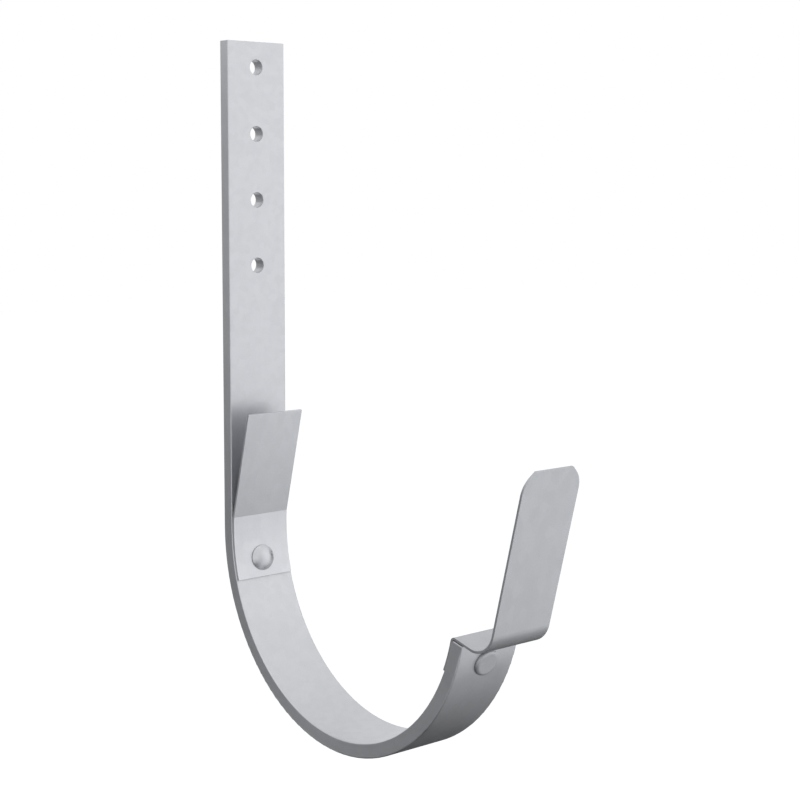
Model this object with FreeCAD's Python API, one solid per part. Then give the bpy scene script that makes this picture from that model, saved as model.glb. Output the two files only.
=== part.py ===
import FreeCAD, Part
import os
from math import asin, atan2, cos, degrees, radians, sin
from FreeCAD import Rotation, Vector

# Half-round gutter bracket: a flat bar bent to a half circle, with a sheet tongue riveted
# inside it at the back and another wrapped over its front end. Millimetres.
# X runs across the bar, +Y points at the wall and +Z up. The origin is the middle of the
# screw holes, on the back of the bar.

# Bar
bar_width = 30.0
bar_thickness = 6.0
bar_edge_radius = 0.4      # rolled edges; the ends are cut square
gutter_diameter = 153.0
back_height = 217.2        # top end of the bar above the middle of the gutter
end_angle = 166.8          # degrees round the gutter, from the back to the front end

# Screw holes
hole_diameter = 6.8
hole_pitch = 29.2
hole_margin = 11.1         # top end of the bar to the middle of the first hole
hole_count = 4

# Sheet tongues
sheet_thickness = 1.0
sheet_inset = 0.5          # the sheets are this much narrower than the bar on each side
sheet_gap = 0.05           # between the sheet and the bar it lies on

# Rear tongue, its places measured along the gutter's edge of the bar from where the bend starts
rear_leg_end = 23.9
rear_rivet_place = 15.2
rear_fold_place = 5.1      # this far above the start of the bend
rear_fold_radius = 1.0
rear_lean = 14.4           # degrees from upright
rear_length = 49.6

# Front tongue, its places measured back along the bar from its front end
front_leg_end = 14.1
front_rivet_place = 9.0
wrap_radius = 1.1
end_gap = 0.3              # between the end of the bar and the sheet wrapped over it
shelf_reach = 3.8          # straight sheet past the outside of the bar
front_fold_radius = 10.1
front_lean = 14.4          # degrees from upright
front_length = 66.0
front_corner_cut = 5.0     # its top corners are cut off at 45 degrees
front_corner_radius = 10.0  # rounds the cut into the sides; its top end stays sharp

# Rivets
rivet_diameter = 6.0
rivet_clearance = 0.1      # all round the shank
head_diameter = 11.5
head_gap = 0.05            # between a head and the face it is drawn down on
dome_height = 2.6
dome_rim = 0.5
flat_head_height = 1.4
flat_head_shoulder = 1.2   # from its side to the flat, over a rim with two bevels
sink_diameter = 10.0
sink_depth = 2.2

# Worked out from the sizes above
seat_radius = gutter_diameter / 2
outer_radius = seat_radius + bar_thickness
sheet_width = bar_width - 2 * sheet_inset
leg_radius = seat_radius - sheet_gap - sheet_thickness
leg_middle = leg_radius + sheet_thickness / 2
holes_length = hole_pitch * (hole_count - 1)
top_z = holes_length / 2 + hole_margin
seat = Vector(0, -outer_radius, top_z - back_height)
across = Vector(1, 0, 0)


def angle_of(length):
    """Degrees round the gutter that a length along the bar's inner face takes."""
    return degrees(length / seat_radius)


def outward(angle):
    """Direction from the middle of the gutter, at an angle round it from the back."""
    return Vector(0, cos(radians(angle)), -sin(radians(angle)))


def round_seat(radius, angle):
    return seat + outward(angle) * radius


def turned(direction, angle):
    return Rotation(across, angle).multVec(direction)


def arc(radius, start, end):
    return Part.Arc(round_seat(radius, start), round_seat(radius, (start + end) / 2), round_seat(radius, end))


def prism(curves, width):
    """Solid of one closed outline in the YZ plane, with its middle at x = 0."""
    edges = [curve.toShape() for curve in curves]
    outline = Part.Wire(Part.__sortEdges__(edges))
    outline.translate(Vector(-width / 2, 0, 0))
    return Part.Face(outline).extrude(across * width)


def drum(radius):
    """Cylinder about the gutter's own axis, wider than every piece."""
    length = 4 * max(bar_width, sheet_width, head_diameter)
    return Part.makeCylinder(radius, length, seat - across * length / 2, across)


def along_rivet(shape, angle):
    """Turns a shape made up the Z axis to stand out from the middle of the gutter."""
    shape.rotate(Vector(0, 0, 0), across, -90 - angle)
    shape.translate(seat)
    return shape


def rivet_hole(angle):
    radius = rivet_diameter / 2 + rivet_clearance
    return along_rivet(Part.makeCylinder(radius, 2 * outer_radius), angle)


def sink(clearance):
    """Cone of the countersink, its wide end past the outside of the bar."""
    slope = (sink_diameter - rivet_diameter) / 2 / sink_depth
    low_radius = rivet_diameter / 2 + clearance
    past = bar_thickness
    cone = Part.makeCone(low_radius, low_radius + slope * (sink_depth + past), sink_depth + past)
    cone.translate(Vector(0, 0, outer_radius - sink_depth))
    return cone


# Where the pieces sit round the gutter
rear_rivet_angle = angle_of(rear_rivet_place)
front_rivet_angle = end_angle - angle_of(front_rivet_place)


def bar_outline():
    """Side view of the bar. Its inner corner at the front end is rounded as the sheet wraps it."""
    bend_back = Vector(0, 0, seat.z)
    bend_front = Vector(0, -bar_thickness, seat.z)
    top_back = Vector(0, 0, top_z)
    top_front = Vector(0, -bar_thickness, top_z)
    up = turned(outward(end_angle), -90)
    end_inner = round_seat(seat_radius + wrap_radius, end_angle)
    end_outer = round_seat(outer_radius, end_angle)
    corner_middle = end_inner - up * wrap_radius
    corner_drop = degrees(asin(wrap_radius / (seat_radius + wrap_radius)))
    corner_start = round_seat(seat_radius, end_angle - corner_drop)
    halfway = (outward(end_angle - corner_drop) * -1 + up).normalize()
    corner_point = corner_middle + halfway * wrap_radius
    return [
        Part.LineSegment(top_back, top_front),
        Part.LineSegment(top_front, bend_front),
        arc(seat_radius, 0, end_angle - corner_drop),
        Part.Arc(corner_start, corner_point, end_inner),
        Part.LineSegment(end_inner, end_outer),
        arc(outer_radius, end_angle, 0),
        Part.LineSegment(bend_back, top_back),
    ]


def is_rolled(edge):
    """Whether an edge runs along the bar, not across it or its ends."""
    return edge.BoundBox.XLength < bar_edge_radius and edge.Length > 2 * bar_thickness


def bar():
    body = prism(bar_outline(), bar_width)
    body = body.makeFillet(bar_edge_radius, [e for e in body.Edges if is_rolled(e)])
    for place in range(hole_count):
        z = holes_length / 2 - place * hole_pitch
        start = Vector(0, -2 * bar_thickness, z)
        body = body.cut(Part.makeCylinder(hole_diameter / 2, 3 * bar_thickness, start, Vector(0, 1, 0)))
    body = body.cut(rivet_hole(rear_rivet_angle)).cut(rivet_hole(front_rivet_angle))
    return body.cut(along_rivet(sink(rivet_clearance), rear_rivet_angle))


def walk_sheet(point, heading, moves):
    """Solid of a bent sheet, walked along its middle.

    A move is a straight length, or a pair of bend radius and turn in degrees. A turn
    above 0 swings the walk from +Y towards +Z.
    """
    half = sheet_thickness / 2
    sides = {half: [], -half: []}
    caps = []
    for move in moves:
        normal = turned(heading, 90)
        caps.append(Part.LineSegment(point - normal * half, point + normal * half))
        if isinstance(move, tuple):
            radius, turn = move
            centre = point + normal * (radius if turn > 0 else -radius)
            spin = [Rotation(across, turn * share) for share in (0.5, 1)]
            for side, curves in sides.items():
                start = point + normal * side
                middle, end = [centre + s.multVec(start - centre) for s in spin]
                curves.append(Part.Arc(start, middle, end))
            point = centre + spin[1].multVec(point - centre)
            heading = spin[1].multVec(heading)
        else:
            for side, curves in sides.items():
                start = point + normal * side
                curves.append(Part.LineSegment(start, start + heading * move))
            point = point + heading * move
    normal = turned(heading, 90)
    last_cap = Part.LineSegment(point - normal * half, point + normal * half)
    outline = sides[half] + sides[-half] + [caps[0], last_cap]
    return prism(outline, sheet_width), point


def rear_tongue():
    low = angle_of(rear_leg_end)
    high = -angle_of(rear_fold_place)
    start = round_seat(leg_middle, low)
    heading = turned(outward(low), 90)
    fold = rear_fold_radius + sheet_thickness / 2
    moves = [(leg_middle, low - high), (fold, rear_lean + high), rear_length]
    sheet, tip = walk_sheet(start, heading, moves)
    return sheet.cut(rivet_hole(rear_rivet_angle))


def front_tongue():
    low = end_angle - angle_of(front_leg_end)
    start = round_seat(leg_middle, low)
    heading = turned(outward(low), -90)
    wrap = wrap_radius + sheet_thickness / 2
    rise = end_gap + sheet_thickness / 2 - wrap
    past_end = degrees(asin(rise / (leg_middle + wrap)))
    shelf = bar_thickness + sheet_gap - wrap_radius + shelf_reach
    fold = front_fold_radius + sheet_thickness / 2
    moves = [
        (leg_middle, low - end_angle - past_end),
        (wrap, 90 + past_end),
        shelf,
        (fold, front_lean + end_angle - 270),
        front_length,
    ]
    sheet, tip = walk_sheet(start, heading, moves)
    sheet = sheet.makeChamfer(front_corner_cut, corners_at(sheet, tip, 0))
    sheet = sheet.makeFillet(front_corner_radius, corners_at(sheet, tip, front_corner_cut))
    return sheet.cut(rivet_hole(front_rivet_angle))


def corners_at(sheet, tip, below):
    """Edges through the sheet at its two sides, at a distance below its free end."""
    found = []
    for edge in sheet.Edges:
        middle = edge.CenterOfMass
        drop = Vector(0, middle.y, middle.z).distanceToPoint(tip)
        if abs(drop - below) < sheet_thickness / 4 and abs(middle.x) > sheet_width / 4:
            found.append(edge)
    return found


def head(profile):
    """Solid of revolution about Z of a head's half section, given as curves with y = 0."""
    edges = [curve.toShape() for curve in profile]
    return Part.Face(Part.Wire(Part.__sortEdges__(edges))).revolve(Vector(0, 0, 0), Vector(0, 0, 1), 360)


def domed_head():
    """Button head on the inside of the tongue, its underside formed to the curve of the sheet."""
    edge = head_diameter / 2
    base = seat_radius
    rim = leg_radius - dome_rim
    top = leg_radius - dome_height
    ball = (edge**2 + (rim - top)**2) / 2 / (rim - top)
    half_turn = atan2(edge, ball - (rim - top)) / 2
    shoulder = Vector(ball * sin(half_turn), 0, top + ball - ball * cos(half_turn))
    return head([
        Part.LineSegment(Vector(0, 0, base), Vector(edge, 0, base)),
        Part.LineSegment(Vector(edge, 0, base), Vector(edge, 0, rim)),
        Part.Arc(Vector(edge, 0, rim), shoulder, Vector(0, 0, top)),
        Part.LineSegment(Vector(0, 0, top), Vector(0, 0, base)),
    ])


def flat_head():
    """Flat head pressed on the outside of the bar, its rim rounded by two bevels."""
    edge = head_diameter / 2
    base = seat_radius
    top = outer_radius + flat_head_height
    rim_start = Vector(edge, 0, top - flat_head_shoulder)
    rim_end = Vector(edge - flat_head_shoulder, 0, top)
    bulge = flat_head_shoulder * sin(radians(45))
    rim_middle = Vector(rim_end.x + bulge, 0, rim_start.z + bulge)
    return head([
        Part.LineSegment(Vector(0, 0, base), Vector(edge, 0, base)),
        Part.LineSegment(Vector(edge, 0, base), rim_start),
        Part.LineSegment(rim_start, rim_middle),
        Part.LineSegment(rim_middle, rim_end),
        Part.LineSegment(rim_end, Vector(0, 0, top)),
        Part.LineSegment(Vector(0, 0, top), Vector(0, 0, base)),
    ])


def shank(end):
    start = leg_radius - dome_rim
    return Part.makeCylinder(rivet_diameter / 2, end - start, Vector(0, 0, start))


def rivet(angle, outside):
    """Rivet with its domed head on the tongue and the given outer end, which may be cut to a curve."""
    dome = along_rivet(domed_head(), angle).common(drum(leg_radius - head_gap))
    return dome.fuse(along_rivet(shank(outer_radius - sink_depth), angle)).fuse(outside).removeSplitter()


def rear_rivet():
    """Hammered flush into its countersink, so that the back of the bar stays flat."""
    flush = along_rivet(sink(0).fuse(shank(outer_radius)), rear_rivet_angle)
    return rivet(rear_rivet_angle, flush.common(drum(outer_radius)))


def front_rivet():
    pressed = along_rivet(flat_head(), front_rivet_angle).cut(drum(outer_radius + head_gap))
    tail = along_rivet(shank(outer_radius + flat_head_height / 2), front_rivet_angle)
    return rivet(front_rivet_angle, pressed.fuse(tail))


def main():
    pieces = {
        "bracket_bar": bar(),
        "rear_tongue": rear_tongue(),
        "front_tongue": front_tongue(),
        "rear_rivet": rear_rivet(),
        "front_rivet": front_rivet(),
    }
    os.makedirs("parts", exist_ok=True)
    for name, shape in pieces.items():
        shape.exportStep(f"parts/{name}.step")
        box = shape.BoundBox
        print(name, "valid" if shape.isValid() else "INVALID", len(shape.Solids), "solid",
              f"{shape.Volume:.1f} mm3",
              f"y {box.YMin:.2f} to {box.YMax:.2f}, z {box.ZMin:.2f} to {box.ZMax:.2f}")


main()
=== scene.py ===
import bpy
import bmesh
from math import radians
from mathutils import Matrix, Vector

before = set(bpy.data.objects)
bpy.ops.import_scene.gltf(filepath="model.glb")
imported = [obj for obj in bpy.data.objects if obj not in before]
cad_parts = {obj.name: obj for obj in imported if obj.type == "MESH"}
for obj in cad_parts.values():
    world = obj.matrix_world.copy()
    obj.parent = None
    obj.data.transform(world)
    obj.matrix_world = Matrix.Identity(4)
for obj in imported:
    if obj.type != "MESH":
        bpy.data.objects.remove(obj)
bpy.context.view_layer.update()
print("frame loaded:", sorted(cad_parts))


# A keyword sets the node's own property, or else the input of that name, with _ for a space
def addNode(tree, kind, x, y, **values):
    node = tree.nodes.new(kind)
    node.location = (x, y)
    for name, value in values.items():
        if hasattr(node, name):
            setattr(node, name, value)
        else:
            node.inputs[name.replace("_", " ")].default_value = value
    return node


# The values are numbers or sockets, in the order of the node's inputs
def mathNode(tree, operation, values, x, y, clamp=False):
    node = addNode(tree, "ShaderNodeMath", x, y, operation=operation, use_clamp=clamp)
    for socket, value in zip(node.inputs, values):
        if isinstance(value, (int, float)):
            socket.default_value = value
        else:
            tree.links.new(value, socket)
    return node.outputs[0]


# Blends a colour towards a fixed tone by an amount that varies over the surface
def mixTone(tree, amount, colour, tone, x, y):
    mix = addNode(tree, "ShaderNodeMix", x, y, data_type="RGBA")
    tree.links.new(amount, mix.inputs["Factor"])
    tree.links.new(colour, mix.inputs[6])
    mix.inputs[7].default_value = (*tone, 1)
    return mix.outputs[2]


def newGroup(name, inputs, outputs):
    group = bpy.data.node_groups.new(name, "ShaderNodeTree")
    for label, kind in inputs:
        group.interface.new_socket(label, in_out="INPUT", socket_type=kind)
    for label, kind in outputs:
        group.interface.new_socket(label, in_out="OUTPUT", socket_type=kind)
    start = addNode(group, "NodeGroupInput", -900, 0)
    end = addNode(group, "NodeGroupOutput", 700, 0)
    return group, start, end


def newMaterial(name):
    material = bpy.data.materials.new(name)
    material.use_nodes = True
    material.node_tree.nodes.clear()
    return material, material.node_tree


# Zinc coat: fine grain, soft clouds where the coat is thicker, and the faint flakes of its crystals
coatTexture = {
    "grainDetail": 3.0,
    "grainRoughness": 0.65,
    "cloudDetail": 4.0,
    "cloudRoughness": 0.55,
    "cloudDistortion": 0.4,
}


def makeZincCoat():
    group, start, end = newGroup(
        "zincCoat",
        [("Vector", "NodeSocketVector"), ("Grain Size", "NodeSocketFloat"),
         ("Cloud Size", "NodeSocketFloat"), ("Flake Size", "NodeSocketFloat")],
        [("Grain", "NodeSocketFloat"), ("Cloud", "NodeSocketFloat"), ("Flake", "NodeSocketFloat")],
    )
    grain = addNode(group, "ShaderNodeTexNoise", -350, 300, Detail=coatTexture["grainDetail"],
                    Roughness=coatTexture["grainRoughness"])
    cloud = addNode(group, "ShaderNodeTexNoise", -350, 50, Detail=coatTexture["cloudDetail"],
                    Roughness=coatTexture["cloudRoughness"], Distortion=coatTexture["cloudDistortion"])
    flake = addNode(group, "ShaderNodeTexVoronoi", -350, -200)
    for node, size in ((grain, "Grain Size"), (cloud, "Cloud Size"), (flake, "Flake Size")):
        scale = mathNode(group, "DIVIDE", (1.0, start.outputs[size]), -650, node.location.y)
        group.links.new(start.outputs["Vector"], node.inputs["Vector"])
        group.links.new(scale, node.inputs["Scale"])
    shade = addNode(group, "ShaderNodeSeparateColor", -50, -200)
    group.links.new(flake.outputs["Color"], shade.inputs[0])
    group.links.new(grain.outputs[0], end.inputs["Grain"])
    group.links.new(cloud.outputs[0], end.inputs["Cloud"])
    group.links.new(shade.outputs[0], end.inputs["Flake"])
    return group


# Painted highlight on the edges: bright where a rounded-off normal leaves the face's own
edgeHighlighting = {"samples": 6, "gain": 4.0}


def makeEdgeRoundingAndHighlight():
    group, start, end = newGroup(
        "edgeRoundingAndHighlight",
        [("Radius", "NodeSocketFloat"), ("Break Up", "NodeSocketFloat")],
        [("Mask", "NodeSocketFloat"), ("Normal", "NodeSocketVector")],
    )
    rounded = addNode(group, "ShaderNodeBevel", -600, 150, samples=edgeHighlighting["samples"])
    group.links.new(start.outputs["Radius"], rounded.inputs["Radius"])
    surface = addNode(group, "ShaderNodeNewGeometry", -600, -50)
    facing = addNode(group, "ShaderNodeVectorMath", -350, 100, operation="DOT_PRODUCT")
    group.links.new(rounded.outputs[0], facing.inputs[0])
    group.links.new(surface.outputs["Normal"], facing.inputs[1])
    away = mathNode(group, "SUBTRACT", (1.0, facing.outputs["Value"]), -150, 100)
    lifted = mathNode(group, "MULTIPLY", (away, edgeHighlighting["gain"]), 50, 100, clamp=True)
    mask = mathNode(group, "MULTIPLY", (lifted, start.outputs["Break Up"]), 250, 100, clamp=True)
    group.links.new(mask, end.inputs["Mask"])
    group.links.new(rounded.outputs[0], end.inputs["Normal"])
    return group


# Painted shade in the tight gaps, under rivet heads and between sheet and bar, in patches. A step or an
# inside corner hides up to half of what is round it and stays unshaded, because the painted shade starts past
# that.
gapShading = {"samples": 8, "gain": 2.2, "offset": 1.2, "patchSwing": 0.5, "patchLevel": 0.75}


def makeGapShade():
    group, start, end = newGroup(
        "gapShade",
        [("Reach", "NodeSocketFloat"), ("Break Up", "NodeSocketFloat")],
        [("Mask", "NodeSocketFloat")],
    )
    near = addNode(group, "ShaderNodeAmbientOcclusion", -500, 100, samples=gapShading["samples"])
    group.links.new(start.outputs["Reach"], near.inputs["Distance"])
    hidden = mathNode(group, "MULTIPLY_ADD", (near.outputs["AO"], -gapShading["gain"], gapShading["offset"]),
                      -250, 100, clamp=True)
    patches = mathNode(group, "MULTIPLY_ADD",
                       (start.outputs["Break Up"], gapShading["patchSwing"], gapShading["patchLevel"]), -250, -100)
    mask = mathNode(group, "MULTIPLY", (hidden, patches), 50, 100, clamp=True)
    group.links.new(mask, end.inputs["Mask"])
    return group


zincCoat = makeZincCoat()
edgeRoundingAndHighlight = makeEdgeRoundingAndHighlight()
gapShade = makeGapShade()


def makeGalvanised(name, look):
    material, tree = newMaterial(name)
    output = addNode(tree, "ShaderNodeOutputMaterial", 900, 0)
    steel = addNode(tree, "ShaderNodeBsdfPrincipled", 600, 0, Metallic=look["metallic"])
    tree.links.new(steel.outputs[0], output.inputs[0])

    place = addNode(tree, "ShaderNodeTexCoord", -1300, 0)
    stretch = addNode(tree, "ShaderNodeMapping", -1100, 0, Scale=look["stretch"])
    tree.links.new(place.outputs["Object"], stretch.inputs[0])
    coat = addNode(tree, "ShaderNodeGroup", -850, 0, node_tree=zincCoat)
    tree.links.new(stretch.outputs[0], coat.inputs["Vector"])
    for label, size in (("Grain Size", "grain"), ("Cloud Size", "cloud"), ("Flake Size", "flake")):
        coat.inputs[label].default_value = look[size]
    grain, cloud, flake = (coat.outputs[label] for label in ("Grain", "Cloud", "Flake"))

    # The edge mask gives the painted highlight in the colour, smoother roughness and the rounded normal
    edge = addNode(tree, "ShaderNodeGroup", -850, -350, node_tree=edgeRoundingAndHighlight)
    edge.inputs["Radius"].default_value = look["edgeRadius"]
    highlightPatches = mathNode(tree, "MULTIPLY_ADD", (cloud, look["patchGain"], -look["patchStart"]),
                           -650, -250, clamp=True)
    tree.links.new(highlightPatches, edge.inputs["Break Up"])
    # Gap mask for the painted shade in the tight gaps
    gapShadeNode = addNode(tree, "ShaderNodeGroup", -850, -550, node_tree=gapShade)
    gapShadeNode.inputs["Reach"].default_value = look["gapShadeReach"]
    tree.links.new(cloud, gapShadeNode.inputs["Break Up"])

    # Colour: clouds, flakes and grain swing between the two tones, with a painted highlight on the edges and
    # painted shade in the gaps
    clouds = mathNode(tree, "MULTIPLY", (cloud, look["cloudStrength"]), -650, 300)
    flakes = mathNode(tree, "MULTIPLY_ADD", (flake, look["flakeStrength"], clouds), -550, 200)
    swing = mathNode(tree, "MULTIPLY_ADD", (grain, look["grainStrength"], flakes), -350, 200, clamp=True)
    tones = addNode(tree, "ShaderNodeValToRGB", -150, 250)
    for stop, position, tone in zip(tones.color_ramp.elements, look["toneRange"], ("darkTone", "lightTone")):
        stop.position = position
        stop.color = (*look[tone], 1)
    tree.links.new(swing, tones.inputs[0])
    edgeHighlightAmount = mathNode(tree, "MULTIPLY", (edge.outputs["Mask"], look["edgeStrength"]), 50, 50)
    gapShadeAmount = mathNode(tree, "MULTIPLY", (gapShadeNode.outputs["Mask"], look["gapShadeStrength"]), 250, 400)
    highlighted = mixTone(tree, edgeHighlightAmount, tones.outputs[0], look["edgeHighlightTone"], 250, 200)
    gapShaded = mixTone(tree, gapShadeAmount, highlighted, look["gapShadeTone"], 420, 200)
    tree.links.new(gapShaded, steel.inputs["Base Color"])

    # Roughness: dull clouds, glinting flakes, smoother edges
    lowest = look["roughness"] - look["roughnessSwing"] / 2
    dull = mathNode(tree, "MULTIPLY_ADD", (cloud, look["roughnessSwing"], lowest), -350, -100)
    glint = mathNode(tree, "MULTIPLY_ADD", (flake, -look["flakeGlint"], dull), -150, -100)
    smooth = mathNode(tree, "MULTIPLY_ADD", (edge.outputs["Mask"], -look["edgePolish"], glint),
                      250, -100, clamp=True)
    tree.links.new(smooth, steel.inputs["Roughness"])

    # Relief: the grain of the coat over its slow ripples
    ripple = mathNode(tree, "MULTIPLY_ADD", (cloud, look["ripple"], grain), -350, -400)
    relief = addNode(tree, "ShaderNodeBump", 250, -350,
                     Strength=look["reliefStrength"], Distance=look["reliefDepth"])
    tree.links.new(ripple, relief.inputs["Height"])
    tree.links.new(edge.outputs["Normal"], relief.inputs["Normal"])
    tree.links.new(relief.outputs[0], steel.inputs["Normal"])
    return material


def dress(node, material):
    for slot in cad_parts[node].material_slots:
        slot.material = material
    print("dressed:", node)


# A look made from another one: its two tones times an amount, and some of its values changed
def lookFrom(look, amount, **changes):
    tones = {key: tuple(part * amount for part in look[key]) for key in ("darkTone", "lightTone")}
    return {**look, **tones, **changes}


# Bar: hot-dip galvanised flat bar, satin with a slightly open grain
barLook = {
    "metallic": 0.92,
    "stretch": (1.0, 1.0, 1.0),
    "grain": 0.0005,
    "cloud": 0.012,
    "flake": 0.0028,
    "darkTone": (0.543, 0.550, 0.575),
    "lightTone": (0.621, 0.628, 0.655),
    "toneRange": (0.25, 0.95),
    # painted highlight tone on the edges
    "edgeHighlightTone": (0.74, 0.75, 0.77),
    "edgeRadius": 0.0004,
    "edgeStrength": 0.35,
    "edgePolish": 0.08,
    "patchGain": 1.6,
    "patchStart": 0.2,
    "cloudStrength": 0.6,
    "flakeStrength": 0.10,
    "flakeGlint": 0.05,
    "grainStrength": 0.56,
    "roughness": 0.46,
    "roughnessSwing": 0.12,
    # painted shade in the tight gaps
    "gapShadeReach": 0.0015,
    "gapShadeStrength": 0.8,
    "gapShadeTone": (0.20, 0.20, 0.20),
    "ripple": 0.6,
    "reliefStrength": 0.35,
    "reliefDepth": 0.00008,
}
dress("bracket_bar", makeGalvanised("barZinc", barLook))

# Tongues: thin galvanised sheet with a finer grain than the bar, the rear one painted lighter and the front
# one painted darker as painted light and shade
sheetLook = {
    **barLook,
    "stretch": (1.0, 0.7, 0.6),
    "grain": 0.0004,
    "cloud": 0.009,
    "flake": 0.0035,
    "edgeRadius": 0.00018,
    "reliefStrength": 0.25,
}
# Lit and shaded copies of one sheet look: painted light on the rear tongue, painted shade on the front one
dress("rear_tongue", makeGalvanised("rearSheetZincPaintedLight", lookFrom(sheetLook, 1.06)))
dress("front_tongue", makeGalvanised("frontSheetZincPaintedShade", lookFrom(sheetLook, 0.84)))

# Rivets: the rear one's dome is smoother and brighter, the front one's pressed head duller
rivetLook = {
    **barLook,
    "grain": 0.0004,
    "cloud": 0.004,
    "flake": 0.0015,
    "edgeStrength": 0.4,
    "reliefStrength": 0.4,
}
domedLook = lookFrom(rivetLook, 1.03, metallic=0.7, roughness=0.38)
pressedLook = lookFrom(rivetLook, 0.92, edgeRadius=0.0010, edgeStrength=0.12, roughness=0.60)
dress("rear_rivet", makeGalvanised("rearRivetZinc", domedLook))
dress("front_rivet", makeGalvanised("frontRivetZinc", pressedLook))

# Studio: pale floor well below the hanging bracket, and a surround that shows white
studio = {
    "floorHeight": -0.60,
    "floorSize": 12.0,
    "floorTone": (0.86, 0.86, 0.86),
    "floorGlow": 0.30,
    "fillLevel": 0.85,
    "fillTone": (0.97, 0.985, 1.0),
}


# 1 for what the camera sees itself, in the metal or through glass, 0 for what only lights
def seenMask(tree, x, y):
    ray = addNode(tree, "ShaderNodeLightPath", x, y)
    seen = mathNode(tree, "MAXIMUM", (ray.outputs["Is Camera Ray"], ray.outputs["Is Glossy Ray"]), x + 200, y)
    return mathNode(tree, "MAXIMUM", (seen, ray.outputs["Is Transmission Ray"]), x + 400, y)


def makeSurround():
    world = bpy.data.worlds.new("studioSurround")
    bpy.context.scene.world = world
    world.use_nodes = True
    tree = world.node_tree
    tree.nodes.clear()
    seen = seenMask(tree, -700, 100)
    fill = addNode(tree, "ShaderNodeBackground", -200, -100,
                   Color=(*studio["fillTone"], 1), Strength=studio["fillLevel"])
    white = addNode(tree, "ShaderNodeBackground", -200, -250, Color=(1, 1, 1, 1), Strength=1.0)
    choose = addNode(tree, "ShaderNodeMixShader", 50, 0)
    output = addNode(tree, "ShaderNodeOutputWorld", 250, 0)
    tree.links.new(seen, choose.inputs[0])
    tree.links.new(fill.outputs[0], choose.inputs[1])
    tree.links.new(white.outputs[0], choose.inputs[2])
    tree.links.new(choose.outputs[0], output.inputs[0])


def stageObject(name, shape, material):
    mesh = bpy.data.meshes.new(name)
    shape.to_mesh(mesh)
    shape.free()
    mesh.materials.append(material)
    thing = bpy.data.objects.new(name, mesh)
    bpy.context.scene.collection.objects.link(thing)
    return thing


def makeFloor():
    material, tree = newMaterial("floorPaint")
    paint = addNode(tree, "ShaderNodeBsdfDiffuse", 0, 100, Color=(*studio["floorTone"], 1))
    level = mathNode(tree, "MULTIPLY", (seenMask(tree, -800, -100), studio["floorGlow"]), -200, -100)
    glow = addNode(tree, "ShaderNodeEmission", 0, -100)
    tree.links.new(level, glow.inputs["Strength"])
    both = addNode(tree, "ShaderNodeAddShader", 250, 0)
    output = addNode(tree, "ShaderNodeOutputMaterial", 450, 0)
    tree.links.new(paint.outputs[0], both.inputs[0])
    tree.links.new(glow.outputs[0], both.inputs[1])
    tree.links.new(both.outputs[0], output.inputs[0])
    grid = bmesh.new()
    bmesh.ops.create_grid(grid, x_segments=1, y_segments=1, size=studio["floorSize"] / 2)
    bmesh.ops.translate(grid, verts=grid.verts, vec=(0, 0, studio["floorHeight"]))
    stageObject("studioFloor", grid, material)


# Flags: grey cards that only the metal sees, as a studio sets them to shape bright steel
sideways, up, leftward = (0.62, -0.785, 0.0), (0.0, 0.0, 1.0), (-1.0, 0.0, 0.0)  # the ways they face
flags = {
    "sideFlag": {"place": (-0.26, 0.25, -0.285), "facing": sideways, "size": (0.90, 0.27), "tone": 0.22},
    "highFlag": {"place": (-0.26, 0.25, -0.025), "facing": sideways, "size": (0.90, 0.25), "tone": 0.40},
    "lowFlag": {"place": (-0.175, -0.025, -0.42), "facing": up, "size": (0.65, 0.45), "tone": 0.03},
    "nearFlag": {"place": (-0.225, -0.525, -0.42), "facing": up, "size": (0.55, 0.55), "tone": 0.03},
    "rightFlag": {"place": (0.45, 0.10, -0.19), "facing": leftward, "size": (0.45, 0.30), "tone": 0.0},
    "backFlag": {"place": (0.375, 0.28, -0.42), "facing": up, "size": (0.45, 0.64), "tone": 0.0},
    "middleFlag": {"place": (0.375, -0.13, -0.42), "facing": up, "size": (0.45, 0.18), "tone": 0.30},
    "frontFlag": {"place": (0.215, -0.28, -0.42), "facing": up, "size": (0.13, 0.12), "tone": 0.25},
}


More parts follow.
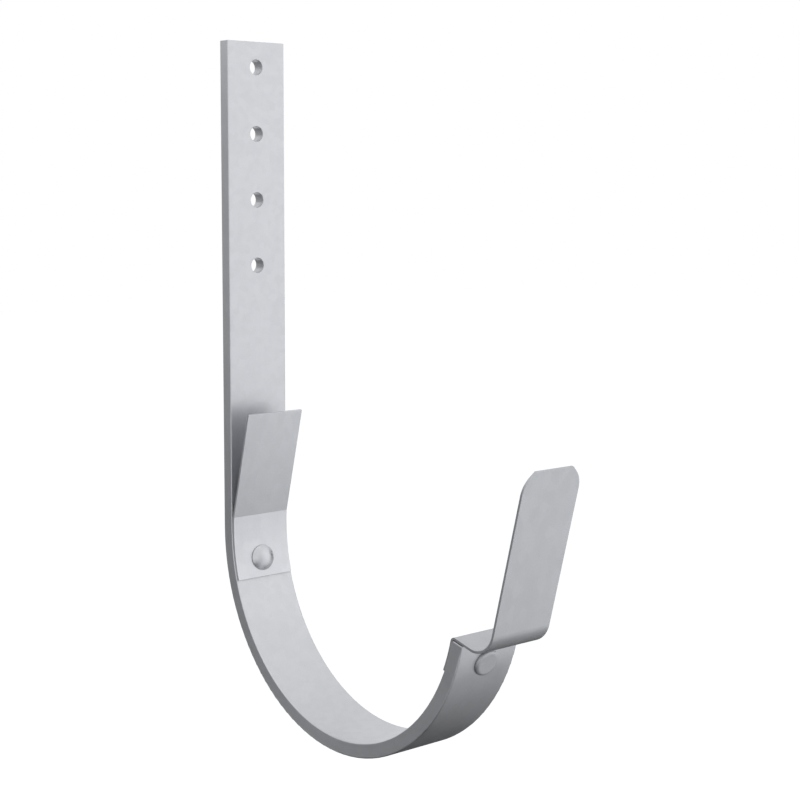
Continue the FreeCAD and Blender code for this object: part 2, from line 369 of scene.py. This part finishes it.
def makeFlags():
    for name, flag in flags.items():
        material, tree = newMaterial(name + "Felt")
        felt = addNode(tree, "ShaderNodeEmission", 0, 0, Color=(1, 1, 1, 1), Strength=flag["tone"])
        output = addNode(tree, "ShaderNodeOutputMaterial", 250, 0)
        tree.links.new(felt.outputs[0], output.inputs[0])
        card = bmesh.new()
        bmesh.ops.create_grid(card, x_segments=1, y_segments=1, size=0.5)
        bmesh.ops.scale(card, verts=card.verts, vec=(*flag["size"], 1))
        turn = Vector(flag["facing"]).to_track_quat("Z", "Y").to_matrix()
        bmesh.ops.rotate(card, verts=card.verts, cent=(0, 0, 0), matrix=turn)
        bmesh.ops.translate(card, verts=card.verts, vec=flag["place"])
        hung = stageObject(name, card, material)
        hung.visible_camera = hung.visible_diffuse = False
        hung.visible_transmission = hung.visible_shadow = False


# Lamps: two soft ones, from the right in front and from above
lamps = {
    "keyLamp": {"place": (1.0, -0.9, 0.2), "size": 1.4, "power": 1.4},
    "topLamp": {"place": (0.2, -0.4, 1.4), "size": 1.0, "power": 1.0},
}
lampAim = Vector((0.0, -0.08, -0.09))  # the middle of the bracket


def makeLamps():
    for name, lamp in lamps.items():
        light = bpy.data.lights.new(name, "AREA")
        light.shape = "DISK"
        light.size = lamp["size"]
        light.energy = lamp["power"]
        stand = bpy.data.objects.new(name, light)
        stand.location = lamp["place"]
        stand.rotation_euler = (lampAim - stand.location).to_track_quat("-Z", "Y").to_euler()
        bpy.context.scene.collection.objects.link(stand)


makeSurround()
makeFloor()
makeFlags()
makeLamps()
print("studio made")

# Camera: in front of the bracket, to its left and a little above its middle
view = {
    "place": (-0.40754, -0.60317, -0.00636),
    "turn": 39.408,
    "tilt": 6.872,
    "roll": 0.214,
    "lens": 72.06,
    "sensor": 36,
    "shift": -0.03125,
    "nearest": 0.01,
}


def makeCamera():
    lens = bpy.data.cameras.new("viewCamera")
    lens.sensor_width = view["sensor"]
    lens.lens = view["lens"]
    lens.shift_y = view["shift"]
    lens.clip_start = view["nearest"]
    camera = bpy.data.objects.new("viewCamera", lens)
    turn = Matrix.Rotation(radians(-view["turn"]), 4, "Z")
    tilt = Matrix.Rotation(radians(90 - view["tilt"]), 4, "X")
    roll = Matrix.Rotation(radians(view["roll"]), 4, "Z")
    camera.matrix_world = Matrix.Translation(view["place"]) @ turn @ tilt @ roll
    bpy.context.scene.collection.objects.link(camera)
    bpy.context.scene.camera = camera


makeCamera()
bpy.context.scene.view_settings.view_transform = "Standard"
print("camera placed")
